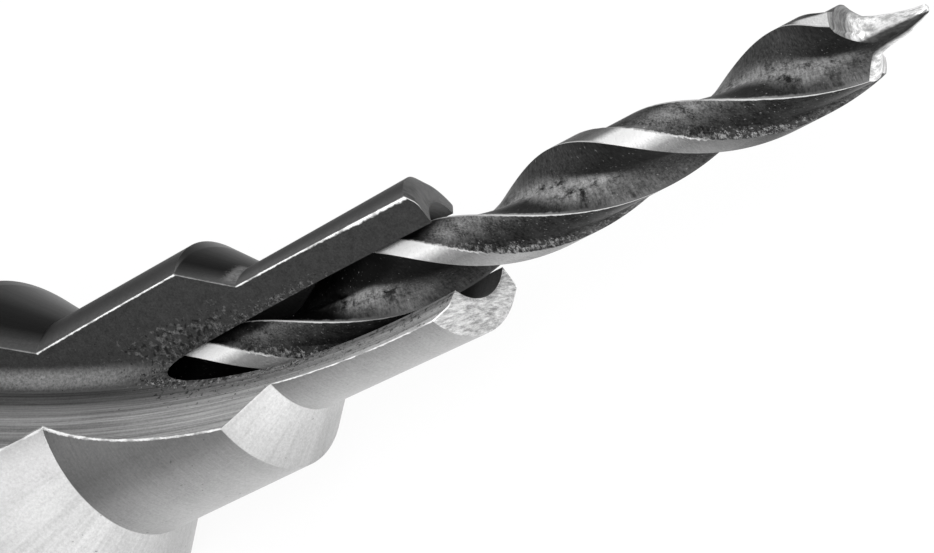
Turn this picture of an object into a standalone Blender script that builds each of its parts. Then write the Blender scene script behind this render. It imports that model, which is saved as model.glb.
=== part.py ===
"""Confirmat drill bit: a stepped counterbore with a replaceable brad-point pilot drill.

The tool lies on the lower spanner flat of its collar, with its axis along +X and the
pilot's tip foremost.  Lengths along the tool are counted backwards from a datum: from the
tip for the pilot, from the front of the body for the body.  Clock angles are measured
about +X, from +Y towards +Z.
"""

import math

import bmesh
import bpy
from mathutils import Matrix, Vector

MM = 0.001

# Pilot drill
PILOT_DIAMETER = 3.7
PILOT_LENGTH = 60.0
PILOT_TURN_LENGTH = 21.64       # length of one full turn of its right-hand helix
PILOT_FLUTED_LENGTH = 44.0
PILOT_FLUTE_RUNOUT = 4.0        # length over which the flutes fade into the plain shank
PILOT_WEB = 1.26                # thickness of the core between the flutes
PILOT_MARGIN_ANGLE = 19.5       # degrees of each land that keep the full diameter
PILOT_LAND_ANGLE = 78.0         # degrees of each land, margin included
PILOT_LAND_RELIEF = 0.3         # how far the cleared land lies inside the diameter
PILOT_CLOCK = 335.3             # clock angle of one cutting lip at the tip
PILOT_TAIL_CHAMFER = 0.3
POINT_SETBACK = 0.15            # start of the ground point behind the heels of the lips
SPUR_LENGTH = 2.45              # centre spur ahead of the lips
SPUR_ROOT_DIAMETER = 1.5
SPUR_TIP_DIAMETER = 0.24
SPUR_TIP_ROUND = 0.06           # height of the spur's rounded end
LIP_SETBACK = 3.1               # tip to the outer corners of the lips
LIP_RELIEF = 0.15               # how far a lip's heel is ground back

# Cutter body: three diameters joined by two conical shoulders
FIRST_DIAMETER = 7.0
SECOND_DIAMETER = 10.3
THIRD_DIAMETER = 15.9
FIRST_LENGTH = 9.4              # front of the body to the first shoulder
SECOND_LENGTH = 7.9
THIRD_LENGTH = 7.4
SHOULDER_ANGLE = 39.3           # degrees between a shoulder's side and the axis
JAW_CHAMFER_WIDTH = 0.45        # ground outer corner of each jaw's end, across
LOWER_JAW_CHAMFER = 0.55        # and along, which differs by hand grinding
UPPER_JAW_CHAMFER = 0.3
LOWER_JAW_RELIEF = 7.7          # degrees that each jaw's end falls back from its edge
UPPER_JAW_RELIEF = 19.5
SHOULDER_RELIEF = 8.0           # degrees that the upper jaw's shoulders fall back
SHOULDER_HEEL = 155.0           # clock angle past the rake face where that starts to fade,
SHOULDER_FADE = 25.0            # and over how many degrees, inside the other flute

# Flutes, milled by a large disc cutter
MILL_DIAMETER = 76.0
MILL_CORNER_RADIUS = 0.9
MILL_FACE_ANGLE = 7.7           # degrees that the disc's face is coned
MILL_CLOCK = 162.0              # clock angle of the disc's axis for the upper jaw's flute
MILL_FACE_OFFSET = 1.13         # disc's corner past the tool's axis, along the disc's axis
MILL_DEPTH_OFFSET = 0.53        # disc's rim past the tool's axis at the deepest place
MILL_DEEPEST = 2.45             # that place, behind the front of the body
MILL_RIM_BREAK = 3.5            # where the rim turns conical, along the disc's axis
MILL_RIM_ANGLE = 9.6            # degrees of that cone, which deepens the cut outwards
MILL_SECTOR = (-12.0, 42.0)     # degrees of the disc that pass through the body

# Bore, collar and clamp screw
BORE_DEPTH = 38.25              # front of the body to the bore's full-width end
BORE_CLEARANCE = 0.3            # all round the pilot and behind its tail
BORE_POINT_ANGLE = 59.0         # degrees between the drilled end's side and the axis
COLLAR_DIAMETER = 18.0
COLLAR_FLATS = 16.0             # across the two spanner flats
COLLAR_LENGTH = 13.0
COLLAR_CHAMFER = 0.8
SCREW_DIAMETER = 5.0
SCREW_SETBACK = 6.0             # screw's centre behind the front of the collar
SCREW_RECESS = 0.6              # screw's end below the upper flat
SCREW_CHAMFER = 0.4
SCREW_CLEARANCE = 0.3           # round the screw and between its point and the pilot
SOCKET_FLATS = 2.5
SOCKET_DEPTH = 2.4

# Hexagon shank
SHANK_FLATS = 6.35
SHANK_LENGTH = 30.0
SHANK_CHAMFER = 0.7
SHANK_FILLET = 1.0              # radius where the shank leaves the collar

# Cutting shapes
CUT_OVERRUN = 3.0               # how far a cutting shape runs past the metal
CUT_INNER = 0.4                 # inner radius of the jaws' grinding shape, inside the bore

# Facets
TURN_STEPS = 96
BORE_STEPS = 40
MILL_STEPS = 36
PILOT_STATION_DEGREES = 15.0
FLUTE_POINTS = 9
LAND_POINTS = 6

# Places that follow from the sizes, in the tool's own frame
SHOULDER_SLOPE = 1.0 / math.tan(math.radians(SHOULDER_ANGLE))
FIRST_SHOULDER = (SECOND_DIAMETER - FIRST_DIAMETER) / 2 * SHOULDER_SLOPE
SECOND_SHOULDER = (THIRD_DIAMETER - SECOND_DIAMETER) / 2 * SHOULDER_SLOPE
SECOND_START = FIRST_LENGTH + FIRST_SHOULDER
THIRD_START = SECOND_START + SECOND_LENGTH + SECOND_SHOULDER
COLLAR_START = THIRD_START + THIRD_LENGTH
COLLAR_END = COLLAR_START + COLLAR_LENGTH
BODY_LENGTH = COLLAR_END + SHANK_LENGTH
BORE_RADIUS = PILOT_DIAMETER / 2 + BORE_CLEARANCE
PILOT_PROJECTION = PILOT_LENGTH + BORE_CLEARANCE - BORE_DEPTH
MILL_REACH = COLLAR_DIAMETER / 2 + CUT_OVERRUN
RAKE_CLOCK = MILL_CLOCK - MILL_FACE_ANGLE
RAKE_HINGE = MILL_FACE_OFFSET * math.cos(math.radians(MILL_FACE_ANGLE))
AXIS_HEIGHT = COLLAR_FLATS / 2
TIP_PLACE = (PILOT_PROJECTION + BODY_LENGTH) / 2
SCREW_POINT = PILOT_DIAMETER / 2 + SCREW_CLEARANCE
SCREW_LENGTH = COLLAR_FLATS / 2 - SCREW_RECESS - SCREW_POINT


def clear_scene():
    """Remove what the file opened with."""
    for thing in list(bpy.data.objects):
        bpy.data.objects.remove(thing, do_unlink=True)


def make_material(name, colour, roughness, metallic):
    """Make a Principled material with a grey or coloured base."""
    material = bpy.data.materials.new(name)
    material.use_nodes = True
    shader = material.node_tree.nodes["Principled BSDF"]
    shader.inputs["Base Color"].default_value = (*colour, 1.0)
    shader.inputs["Roughness"].default_value = roughness
    shader.inputs["Metallic"].default_value = metallic
    material.diffuse_color = (*colour, 1.0)
    return material


def finish_object(name, mesh_builder, parent, material=None):
    """Turn a bmesh given in millimetres into a named object under its parent."""
    bmesh.ops.recalc_face_normals(mesh_builder, faces=mesh_builder.faces)
    bmesh.ops.scale(mesh_builder, vec=(MM, MM, MM), verts=mesh_builder.verts)
    mesh = bpy.data.meshes.new(name)
    mesh_builder.to_mesh(mesh)
    mesh_builder.free()
    mesh.shade_smooth()
    mesh.set_sharp_from_angle(angle=math.radians(30.0))
    thing = bpy.data.objects.new(name, mesh)
    bpy.context.scene.collection.objects.link(thing)
    thing.parent = parent
    if material is not None:
        mesh.materials.append(material)
    return thing


def spin_profile(points, steps):
    """Turn (x, radius) points, given from pole to pole, about the X axis."""
    builder = bmesh.new()
    verts = [builder.verts.new((x, radius, 0.0)) for x, radius in points]
    edges = [builder.edges.new(pair) for pair in zip(verts, verts[1:])]
    bmesh.ops.spin(builder, geom=verts + edges, cent=(0, 0, 0), axis=(1, 0, 0),
                   angle=2 * math.pi, steps=steps, use_merge=True)
    bmesh.ops.remove_doubles(builder, verts=builder.verts, dist=1e-5)
    return builder


def loft_rings(rings):
    """Skin a row of rings with equal counts of points and close both ends."""
    builder = bmesh.new()
    rows = [[builder.verts.new(point) for point in ring] for ring in rings]
    count = len(rows[0])
    for near, far in zip(rows, rows[1:]):
        for i in range(count):
            j = (i + 1) % count
            builder.faces.new((near[i], near[j], far[j], far[i]))
    builder.faces.new(rows[0])
    builder.faces.new(list(reversed(rows[-1])))
    return builder


def prism(outline, start, end):
    """Extrude a (y, z) outline along X."""
    return loft_rings([[(x, y, z) for y, z in outline] for x in (start, end)])


def hexagon(flats):
    """Corners of a hexagon with flats on top and below."""
    corner = flats / 2 / math.cos(math.radians(30.0))
    turns = [math.radians(60.0 * k) for k in range(6)]
    return [(corner * math.cos(turn), corner * math.sin(turn)) for turn in turns]


def cut_with(piece, cutter, operation="DIFFERENCE"):
    """Put a live Boolean on the piece and hide its cutter from renders."""
    boolean = piece.modifiers.new(cutter.name, "BOOLEAN")
    boolean.operation = operation
    boolean.solver = "EXACT"
    boolean.object = cutter
    cutter.hide_render = True
    cutter.display_type = "WIRE"


def smooth_step(value):
    """Ease from 0 to 1."""
    value = min(max(value, 0.0), 1.0)
    return value * value * (3.0 - 2.0 * value)


def pilot_half_section():
    """(radius, degrees behind the lip) round half the pilot: margin, land, then flute."""
    radius = PILOT_DIAMETER / 2
    cleared = radius - PILOT_LAND_RELIEF
    points = [(radius, PILOT_MARGIN_ANGLE * k / 2) for k in range(3)]
    for k in range(LAND_POINTS):
        share = k / (LAND_POINTS - 1)
        start = PILOT_MARGIN_ANGLE + 5.0
        points.append((cleared, start + (PILOT_LAND_ANGLE - start) * share))
    # The flute: a steep concave heel wall, the web, and a hooked wall up to the lip
    for k in range(1, FLUTE_POINTS + 1):
        share = k / (FLUTE_POINTS + 1)
        turn = PILOT_LAND_ANGLE + (180.0 - PILOT_LAND_ANGLE) * share
        outer = cleared + (radius - cleared) * share
        hollow = math.sin(math.pi * share) ** 0.62
        points.append((outer + (PILOT_WEB / 2 - outer) * hollow, turn))
    return points


def spur_profile(radius):
    """Distance from the tip back to the ground point, at a radius."""
    tip = SPUR_TIP_DIAMETER / 2
    root = SPUR_ROOT_DIAMETER / 2
    if radius <= tip:
        return SPUR_TIP_ROUND * (radius / tip) ** 2
    if radius <= root:
        share = (radius - tip) / (root - tip)
        return SPUR_TIP_ROUND + (SPUR_LENGTH - SPUR_TIP_ROUND) * share ** 0.72
    share = min((radius - root) / (PILOT_DIAMETER / 2 - root), 1.0)
    return SPUR_LENGTH + (LIP_SETBACK - SPUR_LENGTH) * (1.0 - (1.0 - share) ** 1.8)


def pilot_point(station, radius, behind, side):
    """Point of the twisted section at a distance from the tip."""
    clock = PILOT_CLOCK - behind + 180.0 * side - 360.0 * station / PILOT_TURN_LENGTH
    turn = math.radians(clock)
    return (-station, radius * math.cos(turn), radius * math.sin(turn))


def build_pilot(parent, material):
    """Brad-point twist drill: one skin from the tail, round the point, to the spur's tip."""
    half = pilot_half_section()
    section = [(radius, behind, side) for side in (0, 1) for radius, behind in half]
    full = PILOT_DIAMETER / 2
    rings = []
    for inset in (PILOT_TAIL_CHAMFER, 0.0):
        place = PILOT_LENGTH - PILOT_TAIL_CHAMFER + inset
        rings.append([pilot_point(place, full - inset, b, s) for _, b, s in section])
    fade_end = PILOT_FLUTED_LENGTH
    fade_start = PILOT_FLUTED_LENGTH - PILOT_FLUTE_RUNOUT
    front = LIP_SETBACK + LIP_RELIEF + POINT_SETBACK
    step = PILOT_TURN_LENGTH * PILOT_STATION_DEGREES / 360.0
    count = max(int(math.ceil((fade_end - front) / step)), 2)
    for k in range(count + 1):
        station = fade_end + (front - fade_end) * k / count
        depth = smooth_step((fade_end - station) / (fade_end - fade_start))
        ring = []
        for radius, behind, side in section:
            ring.append(pilot_point(station, full + (radius - full) * depth, behind, side))
        rings.append(ring)
    # The ground point: rings shrink towards the axis on the point's own profile
    for share in (1.0, 0.86, 0.72, 0.58, 0.45, 0.33, 0.22, 0.12, 0.05):
        ring = []
        for radius, behind, side in section:
            inner = radius * share
            back = spur_profile(inner)
            land = min(behind / PILOT_LAND_ANGLE, 1.0)
            back += LIP_RELIEF * land * inner / full
            ring.append(pilot_point(back, inner, behind, side))
        rings.append(ring)
    return finish_object("pilot_drill", loft_rings(rings), parent, material)


def blank_profile():
    """(x, radius) round the turned blank, before the shank is added."""
    first, second, third = FIRST_DIAMETER / 2, SECOND_DIAMETER / 2, THIRD_DIAMETER / 2
    collar = COLLAR_DIAMETER / 2
    chamfer = COLLAR_CHAMFER
    return [(0.0, 0.0), (0.0, first), (-FIRST_LENGTH, first), (-SECOND_START, second),
            (-SECOND_START - SECOND_LENGTH, second), (-THIRD_START, third),
            (-COLLAR_START, third), (-COLLAR_START, collar - chamfer),
            (-COLLAR_START - chamfer, collar), (-COLLAR_END + chamfer, collar),
            (-COLLAR_END, collar - chamfer), (-COLLAR_END, 0.0)]


def relieve_shoulders(builder):
    """Move the upper jaw's side of both shoulders back, more with distance from its edge."""
    slope = math.tan(math.radians(SHOULDER_RELIEF))
    for vert in builder.verts:
        if not -THIRD_START - 1e-4 < vert.co.x < -FIRST_LENGTH + 1e-4:
            continue
        clock = math.degrees(math.atan2(vert.co.z, vert.co.y)) - RAKE_CLOCK
        clock = (clock + 180.0) % 360.0 - 180.0
        across = math.hypot(vert.co.y, vert.co.z) * math.cos(math.radians(clock))
        back = max(slope * (RAKE_HINGE - across), 0.0)
        if clock > 0.0:
            back *= smooth_step((clock - SHOULDER_HEEL + SHOULDER_FADE) / SHOULDER_FADE)
        vert.co.x -= back


def build_shank(parent):
    """Hexagon shank with a chamfered end and a turned fillet at the collar."""
    bar = finish_object("shank_bar", prism(hexagon(SHANK_FLATS), -COLLAR_END + 1.0, -BODY_LENGTH),
                        parent)
    corner = SHANK_FLATS / 2 / math.cos(math.radians(30.0))
    fillet = []
    for k in range(7):
        turn = math.radians(15.0 * k)
        fillet.append((-COLLAR_END - SHANK_FILLET * (1.0 - math.cos(turn)),
                       corner + SHANK_FILLET * (1.0 - math.sin(turn))))
    inside = [(-COLLAR_END + 1.5, 0.0), (-COLLAR_END + 1.5, corner + SHANK_FILLET)]
    end = [(-BODY_LENGTH + SHANK_CHAMFER, corner), (-BODY_LENGTH, corner - SHANK_CHAMFER),
           (-BODY_LENGTH, 0.0)]
    envelope = finish_object("shank_envelope", spin_profile(inside + fillet + end, TURN_STEPS),
                             parent)
    cut_with(bar, envelope, "INTERSECT")
    return bar


def build_mill(parent, name, clock):
    """Disc cutter's path for one flute, as the sector of the disc that meets the body."""
    rim = MILL_DIAMETER / 2
    slope = math.tan(math.radians(MILL_FACE_ANGLE))
    inner = rim - MILL_REACH
    far = MILL_FACE_OFFSET + MILL_REACH
    radius = MILL_CORNER_RADIUS
    lean = math.radians(MILL_FACE_ANGLE)
    centre_out = rim - radius
    centre_along = MILL_FACE_OFFSET + radius / math.cos(lean) - slope * radius
    outline = [(MILL_FACE_OFFSET - slope * MILL_REACH, inner)]
    for k in range(6):
        turn = lean + (math.pi / 2 - lean) * k / 5
        outline.append((centre_along - radius * math.cos(turn),
                        centre_out + radius * math.sin(turn)))
    deeper = (far - MILL_RIM_BREAK) * math.tan(math.radians(MILL_RIM_ANGLE))
    outline += [(MILL_RIM_BREAK, rim), (far, rim + deeper), (far, inner)]
    rings = []
    for k in range(MILL_STEPS + 1):
        turn = math.radians(MILL_SECTOR[0] + (MILL_SECTOR[1] - MILL_SECTOR[0]) * k / MILL_STEPS)
        rings.append([(-MILL_DEEPEST - out * math.sin(turn), along,
                       MILL_DEPTH_OFFSET - rim + out * math.cos(turn))
                      for along, out in outline])
    mill = finish_object(name, loft_rings(rings), parent)
    mill.rotation_euler = (math.radians(clock), 0.0, 0.0)
    return mill


def build_jaw_grind(parent, name, clock, relief, chamfer):
    """Cup-shaped cut that leaves one jaw's end falling back from its cutting edge."""
    reach = FIRST_DIAMETER
    corner = FIRST_DIAMETER / 2 - JAW_CHAMFER_WIDTH
    drop = (reach - corner) * chamfer / JAW_CHAMFER_WIDTH
    outline = [(0.0, CUT_INNER), (0.0, corner), (-drop, reach), (CUT_OVERRUN, reach),
               (CUT_OVERRUN, CUT_INNER)]
    rings = []
    for k in range(25):
        turn = math.radians(-180.0 + 180.0 * k / 24)
        rings.append([(x, radius * math.cos(turn) - RAKE_HINGE, radius * math.sin(turn))
                      for x, radius in outline])
    grind = finish_object(name, loft_rings(rings), parent)
    turned = Matrix.Rotation(math.radians(clock), 3, "X")
    tilted = turned @ Matrix.Rotation(math.radians(-relief), 3, "Z")
    grind.rotation_euler = tilted.to_euler()
    grind.location = (turned @ Vector((0.0, RAKE_HINGE, 0.0))) * MM
    return grind


def build_body(parent, material):
    """Turned and milled counterbore body with its shank."""
    blank = spin_profile(blank_profile(), TURN_STEPS)
    relieve_shoulders(blank)
    body = finish_object("cutter_body", blank, parent, material)
    flat = COLLAR_FLATS / 2
    beyond = COLLAR_DIAMETER
    for name, side in (("upper_flat_cut", 1.0), ("lower_flat_cut", -1.0)):
        outline = [(-beyond, side * flat), (beyond, side * flat),
                   (beyond, side * beyond), (-beyond, side * beyond)]
        block = prism(outline, -COLLAR_START + 0.5, -COLLAR_END - 0.5)
        cut_with(body, finish_object(name, block, parent))
    cut_with(body, build_shank(parent), "UNION")
    bottom = BORE_RADIUS / math.tan(math.radians(BORE_POINT_ANGLE))
    bore = spin_profile([(CUT_OVERRUN, 0.0), (CUT_OVERRUN, BORE_RADIUS),
                         (-BORE_DEPTH, BORE_RADIUS), (-BORE_DEPTH - bottom, 0.0)], BORE_STEPS)
    cut_with(body, finish_object("pilot_bore_cut", bore, parent))
    for name, turned in (("upper_flute_mill", 0.0), ("lower_flute_mill", 180.0)):
        cut_with(body, build_mill(parent, name, MILL_CLOCK + turned))
    cut_with(body, build_jaw_grind(parent, "upper_jaw_grind", RAKE_CLOCK,
                                   UPPER_JAW_RELIEF, UPPER_JAW_CHAMFER))
    cut_with(body, build_jaw_grind(parent, "lower_jaw_grind", RAKE_CLOCK + 180.0,
                                   LOWER_JAW_RELIEF, LOWER_JAW_CHAMFER))
    hole_radius = SCREW_DIAMETER / 2 + SCREW_CLEARANCE
    hole = spin_profile([(flat + CUT_OVERRUN, 0.0), (flat + CUT_OVERRUN, hole_radius),
                         (SCREW_POINT - SCREW_CLEARANCE, hole_radius),
                         (SCREW_POINT - SCREW_CLEARANCE, 0.0)], BORE_STEPS)
    hole_cut = finish_object("screw_hole_cut", hole, parent)
    hole_cut.rotation_euler = (0.0, -math.pi / 2, 0.0)
    hole_cut.location = (-(COLLAR_START + SCREW_SETBACK) * MM, 0.0, 0.0)
    cut_with(body, hole_cut)
    return body


def build_screw(parent, material):
    """Socket grub screw standing on end above the pilot's shank."""
    radius = SCREW_DIAMETER / 2
    half = SCREW_LENGTH
    chamfer = SCREW_CHAMFER
    profile = [(half, 0.0), (half, radius - chamfer), (half - chamfer, radius),
               (chamfer, radius), (0.0, radius - chamfer), (0.0, 0.0)]
    screw = finish_object("clamp_screw", spin_profile(profile, BORE_STEPS), parent, material)
    socket = prism(hexagon(SOCKET_FLATS), half + CUT_OVERRUN, half - SOCKET_DEPTH)
    socket_cut = finish_object("screw_socket_cut", socket, screw)
    cut_with(screw, socket_cut)
    screw.rotation_euler = (0.0, -math.pi / 2, 0.0)
    screw.location = (-(COLLAR_START + SCREW_SETBACK) * MM, 0.0, SCREW_POINT * MM)
    return screw


def main():
    """Build the three pieces on one tool axis."""
    clear_scene()
    bright_steel = make_material("ground_tool_steel", (0.42, 0.42, 0.42), 0.34, 1.0)
    drill_steel = make_material("bright_drill_steel", (0.34, 0.34, 0.34), 0.28, 1.0)
    dark_steel = make_material("blackened_screw_steel", (0.06, 0.06, 0.06), 0.5, 0.9)
    tip = bpy.data.objects.new("tool_tip", None)
    tip.location = (TIP_PLACE * MM, 0.0, AXIS_HEIGHT * MM)
    bpy.context.scene.collection.objects.link(tip)
    front = bpy.data.objects.new("body_front", None)
    front.location = (-PILOT_PROJECTION * MM, 0.0, 0.0)
    front.parent = tip
    bpy.context.scene.collection.objects.link(front)
    build_body(front, bright_steel)
    build_pilot(tip, drill_steel)
    build_screw(front, dark_steel)


main()
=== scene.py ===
"""Confirmat drill bit, dressed for a studio photograph.

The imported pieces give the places.  Each of the three is rebuilt here with its fine form:
the stepped cutter body with its milled flutes, the twisted brad-point pilot, and the clamp
screw.  Shapes are made in millimetres along the tool's axis, with x = 0 at the front of the
piece and the tool running towards -x, and are set in their place in metres at the end.
"""

from __future__ import annotations

import logging
from collections.abc import Iterable, Sequence
from dataclasses import dataclass, field
from enum import Enum
from functools import partialmethod
from math import acos, atan2, cos, degrees, exp, hypot, pi, radians, sin, tan
from typing import TypeAlias

import bmesh
import bpy
from bmesh.types import BMEdge, BMesh, BMLayerItem, BMVert
from bpy.types import Material, Node, NodeSocket, NodeTree, Object
from mathutils import Matrix, Vector, noise


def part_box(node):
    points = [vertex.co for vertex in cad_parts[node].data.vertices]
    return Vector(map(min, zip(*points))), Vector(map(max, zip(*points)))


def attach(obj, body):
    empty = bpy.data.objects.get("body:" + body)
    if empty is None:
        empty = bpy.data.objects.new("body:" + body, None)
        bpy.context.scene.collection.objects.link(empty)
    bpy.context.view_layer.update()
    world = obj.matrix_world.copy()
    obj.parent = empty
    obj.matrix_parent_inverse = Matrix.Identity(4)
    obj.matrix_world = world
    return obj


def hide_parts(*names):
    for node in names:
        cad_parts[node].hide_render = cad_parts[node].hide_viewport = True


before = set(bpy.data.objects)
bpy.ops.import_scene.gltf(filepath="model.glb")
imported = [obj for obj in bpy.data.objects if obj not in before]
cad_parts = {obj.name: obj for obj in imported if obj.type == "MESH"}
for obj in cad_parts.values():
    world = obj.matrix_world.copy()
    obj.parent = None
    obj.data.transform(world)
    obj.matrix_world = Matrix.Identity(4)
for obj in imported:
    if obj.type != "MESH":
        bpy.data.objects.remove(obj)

logging.basicConfig(level=logging.INFO, format="%(message)s")
log = logging.getLogger("confirmat_bit")

# One millimetre in metres, and in millimetres the height of the tool's axis over the
# floor and the gap within which two stations are one.
MM = 0.001
AXIS_HEIGHT = 8.0
NEAR = 0.001
BODY = "root"
PHOTO_WIDTH = 934
WHITE = (1.0, 1.0, 1.0, 1.0)
UPRIGHT = Matrix.Rotation(-pi / 2, 4, "Y")
Stops: TypeAlias = tuple[tuple[float, float], ...]
Value: TypeAlias = "Field | float"


class Side(Enum):
    """The two jaws of the cutter, and the flute in front of each one's cutting edge."""

    UPPER = 1.0
    LOWER = -1.0

    @property
    def clock(self) -> float:
        """Degrees round the axis from the upper side to this one."""
        return 0.0 if self is Side.UPPER else 180.0


class PilotZone(Enum):
    """Bands across one half of the pilot's section, and its ground point."""

    MARGIN = 0
    LAND = 1
    FLUTE = 2
    POINT = 3
    PLAIN = 4


class Field:
    """A number that varies over a surface, with the usual arithmetic."""

    def __init__(self, board: Board, socket: NodeSocket) -> None:
        """Keep the socket and the board that it belongs to."""
        self.board = board
        self.socket = socket

    def apply(self, operation: str, *others: Value, swap: bool = False) -> Field:
        """Run a Math node on this field.

        Args:
            operation: Name of the Math node's operation.
            others: The further operands.
            swap: Whether this field is the second operand.

        Returns:
            The node's result.
        """
        operands = (*others, self) if swap else (self, *others)
        return self.board.run("ShaderNodeMath", enumerate(operands), operation=operation)

    __add__ = partialmethod(apply, "ADD")
    __sub__ = partialmethod(apply, "SUBTRACT")
    __rsub__ = partialmethod(apply, "SUBTRACT", swap=True)
    __mul__ = partialmethod(apply, "MULTIPLY")
    __truediv__ = partialmethod(apply, "DIVIDE")
    root = partialmethod(apply, "SQRT")
    size = partialmethod(apply, "ABSOLUTE")
    lower = partialmethod(apply, "MINIMUM")
    higher = partialmethod(apply, "MAXIMUM")

    def step(self, start: float, end: float) -> Field:
        """Ease from 0 at one value to 1 at another."""
        return self.span(((start, 0.0), (end, 1.0)), "SMOOTHSTEP")

    def span(self, stops: Stops, interpolation: str = "LINEAR") -> Field:
        """Pass from one (value, result) stop to another, held level beyond them.

        Args:
            stops: The two stops.
            interpolation: How the result runs between them.

        Returns:
            The result at this field's value.
        """
        names = (("From Min", "To Min"), ("From Max", "To Max"))
        values = [pair for stop, name in zip(stops, names) for pair in zip(name, stop)]
        return self.board.run("ShaderNodeMapRange", [("Value", self), *values],
                              interpolation_type=interpolation)

    def curve(self, *stops: tuple[float, float]) -> Field:
        """Read a line through (value, result) stops, held level beyond the ends.

        Args:
            stops: Pairs in rising order of value, with results from 0 to 1.

        Returns:
            The result at this field's value.
        """
        first, last = stops[0][0], stops[-1][0]
        made = self.board.node("ShaderNodeValToRGB")
        ramp = made.color_ramp
        while len(ramp.elements) < len(stops):
            ramp.elements.new(1.0)
        for element, (place, result) in zip(ramp.elements, stops):
            element.position = (place - first) / (last - first)
            element.color = (result, result, result, 1.0)
        self.board.feed(made.inputs[0], (self - first) / (last - first))
        return Field(self.board, made.outputs[0])

    def blend(self, low: Value, high: Value) -> Field:
        """Mix two values, with this field from 0 to 1 as the share of the second."""
        values = ((0, self), (2, low), (3, high))
        return self.board.run("ShaderNodeMix", values, data_type="FLOAT")


class Board:
    """A node tree, and the ways to add to it."""

    def __init__(self, tree: NodeTree) -> None:
        """Keep the tree."""
        self.tree = tree

    def node(self, kind: str, **settings: object) -> Node:
        """Add a node.

        Args:
            kind: The node's type.
            settings: What is written on it.

        Returns:
            The node.
        """
        made = self.tree.nodes.new(kind)
        for name, value in settings.items():
            setattr(made, name, value)
        return made

    def feed(self, socket: NodeSocket, value: Value | Sequence[float]) -> None:
        """Link a field to a socket, or write numbers there."""
        if isinstance(value, Field):
            self.tree.links.new(value.socket, socket)
        else:
            socket.default_value = value

    def run(self, kind: str, values: Iterable[tuple[int | str, Value]],
            **settings: object) -> Field:
        """Add a node and feed it.

        Args:
            kind: The node's type.
            values: Each input's name or number, with what it is fed.
            settings: What is written on the node.

        Returns:
            The node's first output.
        """
        made = self.node(kind, **settings)
        for key, value in values:
            self.feed(made.inputs[key], value)
        return Field(self, made.outputs[0])

    def parts(self, socket: NodeSocket) -> list[Field]:
        """The three numbers of a vector."""
        split = self.run("ShaderNodeSeparateXYZ", ((0, Field(self, socket)),))
        return [Field(self, output) for output in split.socket.node.outputs]

    def rays(self, *names: str) -> list[Field]:
        """Fields that are 1 for the named kinds of ray."""
        path = self.node("ShaderNodeLightPath")
        return [Field(self, path.outputs[name]) for name in names]

    def glow(self, kind: str, strength: Value) -> Field:
        """White light of one kind of shader."""
        return self.run(kind, (("Color", WHITE), ("Strength", strength)))

    def mix(self, share: Field, first: Field, second: Field) -> Field:
        """Mix two shaders, with the share of the second."""
        return self.run("ShaderNodeMixShader", enumerate((share, first, second)))


class Sheet(Board):
    """Node tree of one finish."""

    def __init__(self, name: str, metallic: float, specular: float = 0.12) -> None:
        """Start a material.

        Args:
            name: The material's name.
            metallic: The shader's share of bare metal.
            specular: Level of its other gloss.
        """
        self.material = bpy.data.materials.new(name)
        self.material.use_nodes = True
        super().__init__(self.material.node_tree)
        self.shader = self.tree.nodes["Principled BSDF"]
        self.feed(self.shader.inputs["Metallic"], metallic)
        self.feed(self.shader.inputs["Specular IOR Level"], specular)

    def place(self, front: float) -> list[Field]:
        """Millimetres behind the front of a piece, and across the tool's axis.

        Args:
            front: World x of the piece's front, in millimetres.

        Returns:
            The station, y and z fields.
        """
        found = Field(self, self.node("ShaderNodeTexCoord").outputs["Object"])
        values = (("Vector", found), ("Location", (front, 0.0, -AXIS_HEIGHT)),
                  ("Scale", (-1.0 / MM, 1.0 / MM, 1.0 / MM)))
        return self.parts(self.run("ShaderNodeMapping", values, vector_type="POINT").socket)

    def turn(self, y: Field, z: Field) -> Field:
        """Degrees round the tool's axis: 0 faces the camera, and plus goes down from it."""
        return ((y + z) * -1.0).apply("ARCTAN2", z - y) * degrees(1.0)

    def grain(self, place: Sequence[Value], scale: float, detail: float = 2.0,
              roughness: float = 0.55) -> Field:
        """Noise from 0 to 1 at a place, which may be stretched.

        Args:
            place: Three fields or numbers.
            scale: Waves per unit.
            detail: Octaves of finer noise.
            roughness: Strength of the finer noise.

        Returns:
            The noise's value.
        """
        joined = self.run("ShaderNodeCombineXYZ", enumerate(place))
        values = (("Vector", joined), ("Scale", scale), ("Detail", detail),
                  ("Roughness", roughness))
        return self.run("ShaderNodeTexNoise", values, noise_dimensions="3D")

    def finish(self, grey: Field, roughness: Value, height: Field, depth: float) -> Material:
        """Feed the shader and hand over the material.

        Args:
            grey: Base grey.
            roughness: Roughness of the surface.
            height: Relief from 0 to 1.
            depth: Millimetres that a relief of 1 stands for.

        Returns:
            The finished material.
        """
        bump = self.run("ShaderNodeBump", (("Strength", 1.0), ("Distance", depth * MM),
                                           ("Height", height)))
        for name, value in (("Base Color", grey), ("Roughness", roughness), ("Normal", bump)):
            self.feed(self.shader.inputs[name], value)
        return self.material


def held(value: float) -> float:
    """The value, held between 0 and 1."""
    return min(max(value, 0.0), 1.0)


def loop_verts(edges: Iterable[BMEdge]) -> list[BMVert]:
    """The points of some edges, each once."""
    return list(dict.fromkeys(vert for edge in edges for vert in edge.verts))


def edges_of(parts: Iterable[object]) -> list[BMEdge]:
    """The edges among some parts of a mesh."""
    return [part for part in parts if isinstance(part, BMEdge)]


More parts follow.
